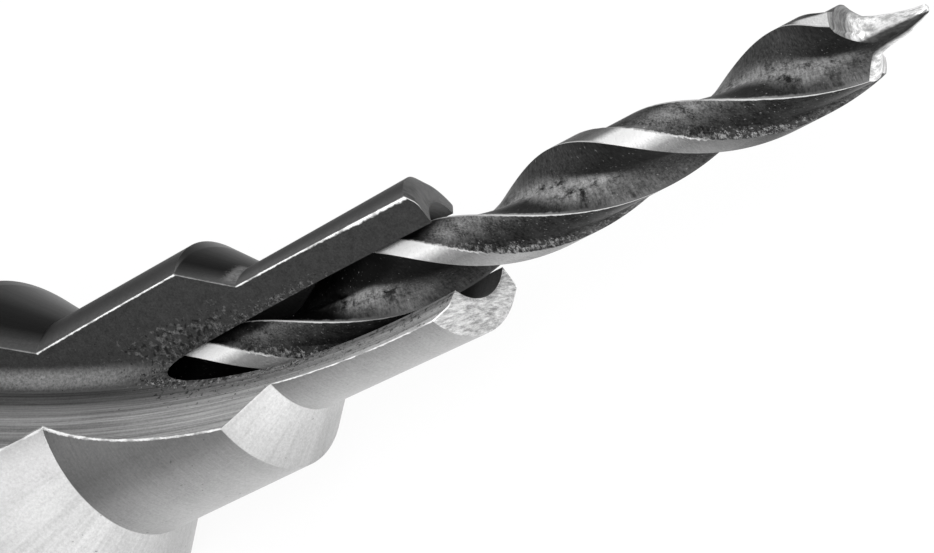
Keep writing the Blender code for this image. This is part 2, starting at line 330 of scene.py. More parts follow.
def spin_profile(points: Iterable[tuple[float, float]], steps: int) -> BMesh:
    """Turn (x, radius) points about the X axis.

    Args:
        points: The outline from pole to pole.
        steps: Facets in a full turn.

    Returns:
        A closed mesh in millimetres.
    """
    builder = bmesh.new()
    verts = [builder.verts.new((x, radius, 0.0)) for x, radius in points]
    edges = [builder.edges.new(pair) for pair in zip(verts, verts[1:])]
    bmesh.ops.spin(builder, geom=verts + edges, cent=(0, 0, 0), axis=(1, 0, 0),
                   angle=2 * pi, steps=steps, use_merge=True)
    bmesh.ops.remove_doubles(builder, verts=builder.verts, dist=1e-5)
    bmesh.ops.recalc_face_normals(builder, faces=builder.faces)
    return builder


def outline_loop(builder: BMesh, points: Iterable[Sequence[float]]) -> list[BMEdge]:
    """Add a closed loop of edges through points."""
    verts = [builder.verts.new(point) for point in points]
    return [builder.edges.new((a, b)) for a, b in zip(verts, verts[1:] + verts[:1])]


def extrude_loop(builder: BMesh, edges: list[BMEdge]) -> list[BMEdge]:
    """Extrude a loop of edges, and find the new loop."""
    made = bmesh.ops.extrude_edge_only(builder, edges=edges)["geom"]
    return [edge for edge in edges_of(made) if len(edge.link_faces) == 1]


def close_loop(builder: BMesh, edges: list[BMEdge]) -> None:
    """Fill a loop of edges with one face."""
    bmesh.ops.contextual_create(builder, geom=edges)


def sweep_loop(builder: BMesh, loop: list[BMEdge], **turn: object) -> None:
    """Spin a closed loop into a solid.

    Args:
        builder: The mesh that holds the loop.
        loop: The loop.
        turn: The spin's centre, axis, angle and steps.
    """
    verts = loop_verts(loop)
    close_loop(builder, loop)
    made = bmesh.ops.spin(builder, geom=verts + loop, **turn)
    close_loop(builder, edges_of(made["geom_last"]))
    bmesh.ops.recalc_face_normals(builder, faces=builder.faces)


def prism(points: Sequence[tuple[float, float]], start: float, end: float) -> BMesh:
    """Extrude a (y, z) outline along X.

    Args:
        points: The outline.
        start: X of its first face.
        end: X of its last face.

    Returns:
        A closed mesh in millimetres.
    """
    builder = bmesh.new()
    loop = outline_loop(builder, [(start, y, z) for y, z in points])
    close_loop(builder, loop)
    loop = extrude_loop(builder, loop)
    bmesh.ops.translate(builder, verts=loop_verts(loop), vec=(end - start, 0.0, 0.0))
    close_loop(builder, loop)
    bmesh.ops.recalc_face_normals(builder, faces=builder.faces)
    return builder


def corner_radius(flats: float) -> float:
    """Distance of a hexagon's corners from its middle."""
    return flats / 2 / cos(pi / 6)


def hexagon(flats: float) -> list[tuple[float, float]]:
    """Corners of a hexagon with flats on top and below."""
    corner = corner_radius(flats)
    return [(corner * cos(pi / 3 * k), corner * sin(pi / 3 * k)) for k in range(6)]


def as_object(name: str, builder: BMesh, *materials: Material) -> Object:
    """Turn a bmesh into an object.

    Args:
        name: The object's name.
        builder: The shape, which is freed.
        materials: What its faces' numbers stand for.

    Returns:
        The object, linked to the scene.
    """
    mesh = bpy.data.meshes.new(name)
    builder.to_mesh(mesh)
    builder.free()
    for material in materials:
        mesh.materials.append(material)
    made = bpy.data.objects.new(name, mesh)
    bpy.context.scene.collection.objects.link(made)
    return made


def carve(piece: Object, cutter: Object, operation: str = "DIFFERENCE") -> None:
    """Run one exact Boolean, keep its result and remove the cutter.

    Args:
        piece: The piece that is cut or joined.
        cutter: The other solid, whose material marks the faces that it leaves.
        operation: The Boolean's operation.
    """
    boolean = piece.modifiers.new(cutter.name, "BOOLEAN")
    boolean.operation = operation
    boolean.solver = "EXACT"
    boolean.material_mode = "TRANSFER"
    boolean.object = cutter
    graph = bpy.context.evaluated_depsgraph_get()
    result = bpy.data.meshes.new_from_object(piece.evaluated_get(graph))
    piece.modifiers.clear()
    old = piece.data
    piece.data = result
    result.name = piece.name
    bpy.data.meshes.remove(old)
    bpy.data.objects.remove(cutter)


def settle(piece: Object, place: Matrix, sharp_degrees: float) -> None:
    """Set a piece in its place in metres and smooth its gentle edges.

    Args:
        piece: A piece in millimetres.
        place: Where it goes.
        sharp_degrees: Edges that turn by more than this stay sharp.
    """
    piece.data.transform(place)
    piece.data.shade_smooth()
    piece.data.set_sharp_from_angle(angle=radians(sharp_degrees))
    piece.data.update()


def on_axis(front: float) -> Matrix:
    """Place on the tool's axis of a piece whose front has this world x, in metres."""
    return Matrix.Translation((front, 0.0, AXIS_HEIGHT * MM)) @ Matrix.Scale(MM, 4)


@dataclass
class FluteCut:
    """Disc cutter that mills a flute, and where it runs."""

    diameter: float = 76.0
    corner_radius: float = 0.9
    face_degrees: float = 7.7
    clock_degrees: float = 162.0
    face_offset: float = 1.13
    depth_offset: float = 0.53
    deepest: float = 2.45
    rim_break: float = 3.5
    rim_degrees: float = 9.6
    reach: float = 12.0
    sector: tuple[float, float] = (-12.0, 42.0)
    steps: int = 90
    ridge_pitch: float = 0.16
    ridge_height: float = 0.02

    def __post_init__(self) -> None:
        """Work out the rim's radius, the faces' slopes and where the rake face looks."""
        lean = radians(self.face_degrees)
        self.rim = self.diameter / 2
        self.slope = tan(lean)
        self.cone = tan(radians(self.rim_degrees))
        self.rake_degrees = self.clock_degrees - self.face_degrees
        self.hinge = self.face_offset * cos(lean)

    def edge_radius(self, along: float) -> float:
        """Radius of the disc's rim at a place along its axis."""
        return self.rim + max(along - self.rim_break, 0.0) * self.cone

    def outline(self) -> list[tuple[float, float]]:
        """Draw the disc's cutting edge.

        Returns:
            (along the disc's axis, out from it) round the edge.
        """
        lean = radians(self.face_degrees)
        radius = self.corner_radius
        along = self.face_offset + radius / cos(lean) - self.slope * radius
        points = [(self.face_offset - self.slope * self.reach, self.rim - self.reach)]
        for k in range(9):
            turn = lean + (pi / 2 - lean) * k / 8
            points.append((along - radius * cos(turn), self.rim - radius + radius * sin(turn)))
        place = points[-1][0] + self.ridge_pitch
        count = 0
        while place < self.face_offset + self.reach - self.ridge_pitch:
            wave = noise.noise((place * 2.3, 4.7, 0.0)) + 0.8 * noise.noise((place * 7.1, 1.3, 0.0))
            ridge = self.ridge_height * (0.5 + 0.5 * wave)
            points.append((place, self.edge_radius(place) - ridge))
            count += 1
            place += self.ridge_pitch * (0.75 + 0.5 * (count * 0.618 % 1.0))
        far = self.face_offset + self.reach
        return points + [(far, self.edge_radius(far)), (far, self.rim - self.reach)]

    def solid(self, side: Side) -> BMesh:
        """Sweep the part of the disc that passes through the body.

        Args:
            side: The jaw whose flute it mills.

        Returns:
            A closed mesh in millimetres.
        """
        start, end = (radians(turn) for turn in self.sector)
        centre = Vector((-self.deepest, 0.0, self.depth_offset - self.rim))
        builder = bmesh.new()
        loop = outline_loop(builder, [centre + Vector((-out * sin(start), along,
                                                       out * cos(start)))
                                      for along, out in self.outline()])
        sweep_loop(builder, loop, cent=centre, axis=(0, 1, 0), angle=start - end,
                   steps=self.steps)
        builder.transform(Matrix.Rotation(radians(self.clock_degrees + side.clock), 4, "X"))
        return builder


@dataclass(frozen=True)
class JawEnd:
    """How the end of one jaw is ground, and how it looks."""

    side: Side
    relief_degrees: float
    chamfer: float
    # Grey of the ground end, a painted light level: dark on the upper jaw, bright on the lower.
    tone: float
    scratch_degrees: float
    chamfer_width: float = 0.45
    rim_width: float = 0.12
    rim_beyond: float = 0.05
    rim_drop: float = 0.045


@dataclass(frozen=True)
class Relief:
    """How the shoulders and lands of one jaw fall back behind their cutting edges."""

    side: Side
    shoulder_degrees: float
    rim_degrees: float
    land_falls: tuple[float, float]
    rise: float = 35.0
    heel: float = 155.0
    fade: float = 25.0


@dataclass(frozen=True)
class BodyGauge:
    """Distances over the cutter body that its finishes share."""

    sheet: Sheet
    body: CutterBody
    station: Field
    y: Field
    z: Field
    radius: Field
    depth: dict[Side, Field]
    height: dict[Side, Field]

    @classmethod
    def read(cls, name: str, metallic: float, body: CutterBody) -> BodyGauge:
        """Start a sheet and work out its fields.

        Args:
            name: The material's name.
            metallic: Its share of bare metal.
            body: The body that it covers.

        Returns:
            The gauge, with the depth and height inside each flute's disc.
        """
        sheet = Sheet(name, metallic)
        station, y, z = sheet.place(body.front / MM)
        cut = body.flute
        turn = radians(cut.clock_degrees)
        along = y * cos(turn) + z * sin(turn)
        deep = z * cos(turn) - y * sin(turn)
        back = station - cut.deepest
        depth, height = {}, {}
        for side in Side:
            lift = deep * side.value - (cut.depth_offset - cut.rim)
            out = (back * back + lift * lift).root()
            cone = (along * side.value - cut.rim_break).higher(0.0) * cut.cone
            depth[side] = out - cone - cut.rim
            height[side] = along * side.value - (out - cut.rim) * cut.slope - cut.face_offset
        return cls(sheet, body, station, y, z, (y * y + z * z).root(), depth, height)

    def noise(self, scale: float, detail: float = 2.0, roughness: float = 0.55) -> Field:
        """Even noise over the body."""
        return self.sheet.grain((self.station, self.y, self.z), scale, detail, roughness)

    def skin(self) -> Field:
        """Find the distance under the turned skin.

        Returns:
            The skin's radius at the station, less the radius.
        """
        body = self.body
        first, second, third = body.radii
        return (self.station.curve((body.first_length, 0.0), (body.second_start, 1.0))
                * (second - first)
                + self.station.curve((body.second_end, 0.0), (body.third_start, 1.0))
                * (third - second) + first) - self.radius

    def cones(self) -> Field:
        """Mark the two shoulders.

        Returns:
            1 on a shoulder and 0 elsewhere.
        """
        body = self.body
        first, second = (self.station.step(start - 0.02, start + 0.03)
                         - self.station.step(end - 0.03, end + 0.02)
                         for start, end in ((body.first_length, body.second_start),
                                            (body.second_end, body.third_start)))
        return first + second

    def edge(self) -> Field:
        """Distance on a land from the nearest milled edge."""
        near = [(self.height[side] * -1.0).higher(self.depth[side]) for side in Side]
        return near[0].lower(near[1])


@dataclass(frozen=True)
class TurnedFinish:
    """Lands, shoulders and collar: ground satin, with painted shade on top and painted light below.
    """

    # Greys by degrees round the axis: painted shade on top and painted light below, scaled along
    # the body by the fades.
    land_light_and_shade: Stops = (
        (-180, 0.35), (-110, 0.2), (-92, 0.08), (-84, 0.02), (-74, 0.02), (-68, 0.055),
        (-62, 0.13), (-56, 0.25), (0, 0.2), (18, 0.15), (28, 0.18), (36, 0.26), (44, 0.32),
        (52, 0.38), (60, 0.425), (68, 0.455), (86, 0.5), (110, 0.4), (180, 0.35))
    land_fade: Stops = ((16.5, 1), (19.3, 0.86))
    cone_light_and_shade: Stops = (
        (-180, 0.5), (-104, 0.06), (-92, 0.04), (-84, 0.008), (-68, 0.006), (-62, 0.045),
        (-56, 0.11), (-18, 0.1), (-12, 0.17), (2, 0.2), (8, 0.24), (14, 0.36), (20, 0.47),
        (32, 0.64), (40, 0.72), (50, 0.66), (64, 0.62), (80, 0.57), (92, 0.51), (180, 0.5))
    cone_fade: Stops = ((9.4, 1), (11.4, 0.8), (19.3, 0.92), (22.7, 0.88))

    def make(self, body: CutterBody) -> Material:
        """Build the material.

        Args:
            body: The body that it covers.

        Returns:
            The material.
        """
        gauge = BodyGauge.read("ground_land_steel", 0.85, body)
        sheet, station = gauge.sheet, gauge.station
        turn = sheet.turn(gauge.y, gauge.z)
        # Painted light and shade: the grey follows the degrees round the axis.
        land = turn.curve(*self.land_light_and_shade) * station.curve(*self.land_fade)
        cone = turn.curve(*self.cone_light_and_shade) * station.curve(*self.cone_fade)
        grit = gauge.noise(6, 3, 0.7)
        burr = (station + grit * 0.6).step(10.3, 10.0) * turn.step(-86, -78)
        cone = (burr * turn.step(-52, -60)).blend(cone, grit * 0.45)
        on_cone = gauge.cones()
        blotch = gauge.noise(0.55, 3)
        rings = sheet.grain((station * 9, gauge.y * 0.3, gauge.z * 0.3), 2.4, 3)
        radial = sheet.grain((gauge.radius * 0.3, turn * 0.4, station * 0.3), 1, 3)
        fine = gauge.noise(9, 3, 0.75)
        marks = on_cone.blend(rings, radial)
        grey = on_cone.blend(land, cone)
        grey = grey * (marks * 0.4 - 0.08 + blotch * 0.2 + fine * 0.7 + 0.43)
        grey = grey * (1.0 - gauge.noise(3.2).step(0.72, 0.77) * 0.45)
        # Bright line along the milled edges: partly worn edge, partly painted highlight.
        line = (gauge.edge() + gauge.noise(5, 3) * 0.12).step(0.12, 0.07)
        worn_edge_and_glint = gauge.noise(1.4, 3).step(0.36, 0.56) * 0.6 + 0.38
        grey = (line * (1.0 - on_cone * 0.85)).blend(grey, worn_edge_and_glint)
        return sheet.finish(grey, marks * 0.12 + 0.38, marks * 0.4 + fine * 0.6, 0.006)


@dataclass(frozen=True)
class FluteFinish:
    """One flute: a dull rake face, a crusted corner and a wall scored along the cut."""

    side: Side
    wall_tones: Stops = ((0.1, 0.15), (0.4, 0.076), (0.9, 0.08), (1.4, 0.11), (1.9, 0.18),
                         (2.5, 0.228), (3.5, 0.21), (7, 0.17))
    wall_fade: Stops = ((0, 1), (5, 0.84), (9, 0.6), (13, 0.47), (17, 0.31), (22, 0.25))
    corner_tones: Stops = ((11, 0.03), (15, 0.06), (17, 0.15), (20, 0.16), (22, 0.12))

    def make(self, body: CutterBody) -> Material:
        """Build the material.

        Args:
            body: The body that it covers.

        Returns:
            The material.
        """
        gauge = BodyGauge.read(f"milled_flute_{self.side.name.lower()}", 0.5, body)
        sheet, station = gauge.sheet, gauge.station
        depth, height = gauge.depth[self.side], gauge.height[self.side]
        wall = height.step(0.3, 0.7)
        corner = 1.0 - depth.step(-0.35, -0.9).higher(wall)
        fine = gauge.noise(10, 4, 0.75)
        coarse = gauge.noise(3, 3, 0.6)
        grit = gauge.noise(6.5, 3, 0.75)
        clump = gauge.noise(4.4, 3, 0.7)
        score = sheet.grain((height * 5.5, station * 0.07, 0.0), 1, 5, 0.8)
        face_grey = (fine * 1.6 + coarse * 0.8 - 0.25) * 0.037
        wall_grey = height.curve(*self.wall_tones) * station.curve(*self.wall_fade) * 3.2
        wall_grey = wall_grey * (score.step(0.34, 0.66) * 0.9 + fine * 0.8 + 0.17)
        rough = (grit * 2.0 + fine * 1.2 - 0.62).higher(0.1)
        corner_grey = station.curve(*self.corner_tones) * rough
        grey = corner.blend(wall.blend(face_grey, wall_grey), corner_grey)
        opening = gauge.radius - body.bore_radius
        near_opening = opening.step(2.4, 0.1) * station.step(7, 13).higher(wall * 0.8)
        near_corner = depth.step(-3.2, -0.6) * (1.0 - wall) * station.step(5, 12)
        crust = (near_opening + near_corner * 0.7 + corner * 0.3).lower(1.0)
        crust = crust * station.curve((14.5, 1), (17, 0.35))
        chips = (clump - (1.0 - crust) * 0.2).step(0.48, 0.66)
        grey = chips.blend(grey, grit * 0.2 + 0.01)
        fringe = opening.step(0.8, 0.15) * station.step(3, 8)
        crumbs = (clump - (1.0 - fringe) * 0.25).step(0.44, 0.56)
        crumb_grey = wall.blend(fine * 0.6 - 0.24, fine * 3.2 - 1.4).higher(0.012)
        grey = crumbs.blend(grey, crumb_grey.lower(0.5))
        pits = (gauge.noise(5) - (1.0 - crust) * 0.2).step(0.54, 0.62)
        grey = grey * (1.0 - pits * 0.7)
        # Bright line where the flute meets the turned skin: partly worn edge, partly painted
        # highlight.
        lip = gauge.skin() * station.curve((3, 0.5), (7, 1))
        lip = (lip + gauge.noise(5, 3) * 0.1).step(0.13, 0.075)
        worn_edge_and_glint = gauge.noise(1.4, 3).step(0.33, 0.5) * 0.5 + 0.47
        grey = lip.blend(grey, worn_edge_and_glint * gauge.cones().blend(1.0, 0.3))
        relief = score * wall * 0.6 + grit * crust * 0.9 + clump * fringe + fine * 0.35
        return sheet.finish(grey.higher(0.006), 0.5 - wall * 0.08, relief, 0.022)


@dataclass(frozen=True)
class JawEndFinish:
    """End of a jaw, scratched slantwise by the grinding wheel, at a painted light level that is
    dark on the upper jaw and bright on the lower.
    """

    end: JawEnd

    def make(self, body: CutterBody) -> Material:
        """Build the material.

        Args:
            body: The body that it covers.

        Returns:
            The material.
        """
        gauge = BodyGauge.read(f"ground_end_{self.end.side.name.lower()}", 0.5, body)
        turn, tone = radians(self.end.scratch_degrees), self.end.tone
        run = gauge.y * cos(turn) + gauge.z * sin(turn)
        over = gauge.z * cos(turn) - gauge.y * sin(turn)
        scratch = gauge.sheet.grain((run * 2.2, over * 9, gauge.station), 1, 4, 0.75)
        fine = gauge.noise(14)
        rim = (gauge.radius - body.bore_radius).step(0.25, 0.05)
        # Painted light level of this jaw's end, with scratches and mottle over it.
        grey = (scratch.step(0.3, 0.7) * 0.9 + gauge.noise(1.6) * 0.6 + fine * 0.5 - 0.05) * tone
        grey = (rim * fine.step(0.4, 0.6) * 0.7).blend(grey, tone * 0.3)
        # Bright line at the cutting edge: partly worn edge, partly painted highlight.
        edge = gauge.edge().step(0.07, 0.03) * gauge.radius.step(2.6, 3.1)
        return gauge.sheet.finish(edge.blend(grey, 0.85), 0.42, scratch * 0.8 + fine * 0.2, 0.03)


@dataclass(frozen=True)
class BoreFinish:
    """Inside of the bore and the screw hole: painted shade deep inside, lighter at the front, with
    drilling rings.
    """

    name: str = "drilled_bore_steel"

    def make(self, body: CutterBody) -> Material:
        """Build the material.

        Args:
            body: The body that it covers.

        Returns:
            The material.
        """
        gauge = BodyGauge.read(self.name, 0.4, body)
        rings = gauge.sheet.grain((gauge.station * 6, gauge.y * 0.4, gauge.z * 0.4), 1.5, 3)
        # Painted shade: near black past the front, and at the front lighter on the upper half than
        # on the lower.
        front = gauge.z.step(-0.5, 0.5).blend(0.075, 0.15)
        grey = gauge.station.step(2.2, 0.6).blend(0.012, front)
        grey = grey * (rings * 0.7 + gauge.noise(9, 3) * 0.7 + 0.3)
        return gauge.sheet.finish(grey, 0.55, rings, 0.02)


@dataclass(frozen=True)
class ShankFinish:
    """Drawn hexagon bar: fine lines along its length and rubbed corners."""

    name: str = "drawn_shank_steel"

    def make(self, body: CutterBody) -> Material:
        """Build the material.

        Args:
            body: The body that it covers.

        Returns:
            The material.
        """
        gauge = BodyGauge.read(self.name, 0.85, body)
        lines = gauge.sheet.grain((gauge.station * 0.15, gauge.y * 7, gauge.z * 7), 1.6, 3)
        corner = corner_radius(body.shank_flats)
        rubbed = gauge.radius.step(corner - 0.16, corner - 0.05)
        grey = rubbed.blend(lines * 0.16 + gauge.noise(0.35, 3) * 0.14 + 0.17, 0.55)
        return gauge.sheet.finish(grey, 0.44 - lines * 0.12, lines, 0.01)


@dataclass
class CutterBody:
    """Counterbore body: three diameters, two flutes, a collar and a hexagon shank."""

    front: float
    radii: tuple[float, float, float] = (3.5, 5.15, 7.95)
    first_length: float = 9.4
    second_length: float = 7.9
    third_length: float = 7.4
    shoulder_degrees: float = 39.3
    bore_radius: float = 2.15
    bore_depth: float = 38.25
    bore_point_degrees: float = 59.0
    collar_radius: float = 9.0
    collar_flats: float = 16.0
    collar_length: float = 13.0
    collar_chamfer: float = 0.8
    shank_flats: float = 6.35
    shank_length: float = 30.0
    shank_chamfer: float = 0.7
    shank_fillet: float = 1.0
    hole_radius: float = 2.72
    hole_setback: float = 6.0
    hole_bottom: float = 1.85
    hole_mouth: float = 0.35
    hole_pitch: float = 0.8
    hole_thread: float = 0.16
    flute: FluteCut = field(default_factory=FluteCut)
    ends: tuple[JawEnd, JawEnd] = (JawEnd(Side.UPPER, 17.0, 0.3, 0.08, 57.0),
                                   JawEnd(Side.LOWER, 7.7, 0.55, 0.46, -59.0))
    reliefs: tuple[Relief, Relief] = (Relief(Side.UPPER, 8.0, 4.0, (0.27, 0.2)),
                                      Relief(Side.LOWER, 0.0, 0.0, (0.17, 0.0)))
    grind_inner: float = 0.4
    grind_ahead: float = 3.0
    clearance: float = 0.5
    turn_steps: int = 288
    cutter_steps: int = 144
    grind_steps: int = 96
    sharp_degrees: float = 30.0

    def __post_init__(self) -> None:
        """Work out the places that follow from the sizes."""
        slope = 1.0 / tan(radians(self.shoulder_degrees))
        first, second, third = self.radii
        self.second_start = self.first_length + (second - first) * slope
        self.second_end = self.second_start + self.second_length
        self.third_start = self.second_end + (third - second) * slope
        self.collar_start = self.third_start + self.third_length
        self.collar_end = self.collar_start + self.collar_length
        self.length = self.collar_end + self.shank_length

    def blank(self, finish: Material) -> Object:
        """Turn the blank without its shank.

        Args:
            finish: What it is covered with.

        Returns:
            The blank, relieved behind its cutting edges.
        """
        first, second, third = self.radii
        chamfer, collar = self.collar_chamfer, self.collar_radius
        profile = [(0.0, 0.0), (0.0, first), (-self.first_length, first),
                   (-self.second_start, second), (-self.second_end, second),
                   (-self.third_start, third), (-self.collar_start, third),
                   (-self.collar_start, collar - chamfer),
                   (-self.collar_start - chamfer, collar),
                   (-self.collar_end + chamfer, collar),
                   (-self.collar_end, collar - chamfer), (-self.collar_end, 0.0)]
        builder = spin_profile(profile, self.turn_steps)
        for relief in self.reliefs:
            self.relieve(builder, relief)
        return as_object("fine_cutter_body", builder, finish)

    def relieve(self, builder: BMesh, relief: Relief) -> None:
        """Let one jaw's shoulders and lands fall back behind their cutting edges.

        Args:
            builder: The turned blank.
            relief: The jaw and how far its surfaces fall.
        """
        hinge = self.flute.hinge
        rake = self.flute.rake_degrees + relief.side.clock
        rims = (self.first_length, self.second_end)
        for vert in builder.verts:
            place = vert.co
            if not -self.third_start - NEAR < place.x < -self.first_length + NEAR:
                continue
            turn = degrees(atan2(place.z, place.y)) - rake
            turn = (turn + 180.0) % 360.0 - 180.0
            radius = hypot(place.y, place.z)
            across = radius * cos(radians(turn))
            if turn > 0.0:
                share = past = held((turn - relief.heel) / relief.fade + 1.0)
            else:
                edge = -degrees(acos(hinge / radius))
                share, past = 1.0, held((edge - turn) / relief.rise)
            fall = sum(most for rim, most in zip(rims, relief.land_falls)
                       if abs(place.x + rim) < NEAR)
            at_rim = place.x < -self.third_start + NEAR
            lean = relief.rim_degrees if at_rim else relief.shoulder_degrees
            place.x -= max(tan(radians(lean)) * (hinge - across), 0.0) * share
            place.yz = place.yz * (1.0 - fall * past / radius)

    def flat_block(self, side: Side, finish: Material) -> Object:
        """Make the block that mills one spanner flat.

        Args:
            side: Where the flat is.
            finish: What it leaves on the faces that it cuts.

        Returns:
            The block.
        """
        flat, beyond = self.collar_flats / 2 * side.value, self.collar_radius * 2
        outline = [(-beyond, flat), (beyond, flat), (beyond, beyond * side.value),
                   (-beyond, beyond * side.value)]
        block = prism(outline, -self.collar_start + self.clearance,
                      -self.collar_end - self.clearance)
        return as_object("flat_block", block, finish)

    def shank(self, finish: Material) -> Object:
        """Make the hexagon bar with its turned end and its fillet at the collar.

        Args:
            finish: What it is covered with.

        Returns:
            The bar.
        """
        corner, fillet, chamfer = (corner_radius(self.shank_flats), self.shank_fillet,
                                   self.shank_chamfer)
        bar = as_object("shank_bar", prism(hexagon(self.shank_flats), -self.collar_end + 1.0,
                                           -self.length), finish)
        profile = [(-self.collar_end + 1.5, 0.0), (-self.collar_end + 1.5, corner + fillet)]
        for turn in (pi / 24 * k for k in range(13)):
            profile.append((-self.collar_end - fillet * (1 - cos(turn)),
                            corner + fillet * (1 - sin(turn))))
        profile += [(-self.length + chamfer, corner), (-self.length, corner - chamfer),
                    (-self.length, 0.0)]
        turned = spin_profile(profile, self.cutter_steps)
        carve(bar, as_object("shank_turning", turned, finish), "INTERSECT")
        return bar

    def bore(self, finish: Material) -> Object:
        """Make the drill of the pilot's bore.

        Args:
            finish: What it leaves on the faces that it cuts.

        Returns:
            The drill.
        """
        bottom = self.bore_radius / tan(radians(self.bore_point_degrees))
        profile = [(2.0, 0.0), (2.0, self.bore_radius), (-self.bore_depth, self.bore_radius),
                   (-self.bore_depth - bottom, 0.0)]
        return as_object("bore_drill", spin_profile(profile, self.cutter_steps), finish)

    def screw_hole(self, finish: Material) -> Object:
        """Make the tap of the clamp screw's hole, with a countersink for its mouth.

        Args:
            finish: What it leaves on the faces that it cuts.

        Returns:
            The tap.
        """
        radius, top, mouth = self.hole_radius, self.collar_flats / 2, self.hole_mouth
        half = self.hole_pitch / 2
        profile = [(top + 1.0, 0.0), (top + 1.0, radius + mouth), (top, radius + mouth),
                   (top - mouth, radius)]
        place = top - mouth - half
        while place > self.hole_bottom + 1.0:
            profile += [(place, radius - self.hole_thread), (place - half, radius)]
            place -= self.hole_pitch
        profile += [(self.hole_bottom, radius), (self.hole_bottom, 0.0)]
        builder = spin_profile(profile, self.grind_steps)
        builder.transform(Matrix.Translation((-self.collar_start - self.hole_setback, 0, 0))
                          @ UPRIGHT)
        return as_object("hole_tap", builder, finish)

    def jaw_grind(self, end: JawEnd, finish: Material) -> Object:
        """Make the half cup that grinds one jaw's end back from its cutting edge.

        Args:
            end: The jaw and how its end is ground.
            finish: What it leaves on the faces that it cuts.

        Returns:
            The half cup.
        """
        reach = self.radii[0] * 2
        corner = self.radii[0] - end.chamfer_width
        drop = (reach - corner) * end.chamfer / end.chamfer_width
        inner, ahead = self.grind_inner, self.grind_ahead
        outline = [(0.0, inner), (0.0, corner - end.rim_width),
                   (-end.rim_drop, corner + end.rim_beyond), (-drop, reach),
                   (ahead, reach), (ahead, inner)]
        builder = bmesh.new()
        loop = outline_loop(builder, [(x, -radius, 0.0) for x, radius in outline])
        sweep_loop(builder, loop, cent=(0, 0, 0), axis=(1, 0, 0), angle=pi,
                   steps=self.grind_steps)
        turn = Matrix.Rotation(radians(self.flute.rake_degrees + end.side.clock), 4, "X")
        tilt = Matrix.Rotation(radians(-end.relief_degrees), 4, "Z")
        hinge = Matrix.Translation((0, self.flute.hinge, 0))
        builder.transform(turn @ hinge @ tilt @ hinge.inverted())
        return as_object("jaw_grind", builder, finish)

    def build(self) -> Object:
        """Make the body, cut by cut.

        Returns:
            The finished piece, riding on its body.
        """
        land, shank, bore = (kind().make(self)
                             for kind in (TurnedFinish, ShankFinish, BoreFinish))
        piece = self.blank(land)
        for side in Side:
            carve(piece, self.flat_block(side, shank))
        carve(piece, self.shank(shank), "UNION")
        carve(piece, self.bore(bore))
        for side in Side:
            carve(piece, as_object("disc_cutter", self.flute.solid(side),
                                   FluteFinish(side).make(self)))
        for end in self.ends:
            carve(piece, self.jaw_grind(end, JawEndFinish(end).make(self)))
        carve(piece, self.screw_hole(bore))
        settle(piece, on_axis(self.front), self.sharp_degrees)
        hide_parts("cutter_body")
        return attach(piece, BODY)


@dataclass(frozen=True)
class PilotGauge:
    """Places over the pilot that its finishes share, on its own surface map."""

    sheet: Sheet
    across: Field
    along: Field
    turn: Field

    @classmethod
    def read(cls, name: str) -> PilotGauge:
        """Start a sheet and work out its fields.

        Args:
            name: The material's name.

        Returns:
            The gauge, with half turns across the map and millimetres along it.
        """
        sheet = Sheet(name, 0.5)
        across, along, _ = sheet.parts(
            sheet.node("ShaderNodeUVMap", uv_map="surface").outputs[0])
        _, y, z = sheet.place(0.0)
        return cls(sheet, across, along, sheet.turn(y, z))

    def noise(self, place: tuple[float, float, float], scale: float, detail: float = 2.0,
              roughness: float = 0.55) -> Field:
        """Noise on the map.

        Args:
            place: How closely it is packed across and along, and which slice it is.
            scale: Waves per unit.
            detail: Octaves of finer noise.
            roughness: Strength of the finer noise.

        Returns:
            The noise's value.
        """
        across, along, part = place
        return self.sheet.grain((self.across * across, self.along * along, part),
                                scale, detail, roughness)

    def wander(self) -> Field:
        """Degrees by which an edge strays."""
        return self.noise((4, 2, 7), 2) * 3.0

    def speck(self, start: float) -> Field:
        """Strength of the bright specks, from a level of noise."""
        return self.noise((9, 1.5, 2), 5).step(start, start + 0.08) * 0.5

    def shade(self) -> Field:
        """Less light on the part that stands close behind the body's rake face."""
        return (self.along.step(22.2, 23.4) * self.turn.step(-16, -38)).blend(1.0, 0.1)


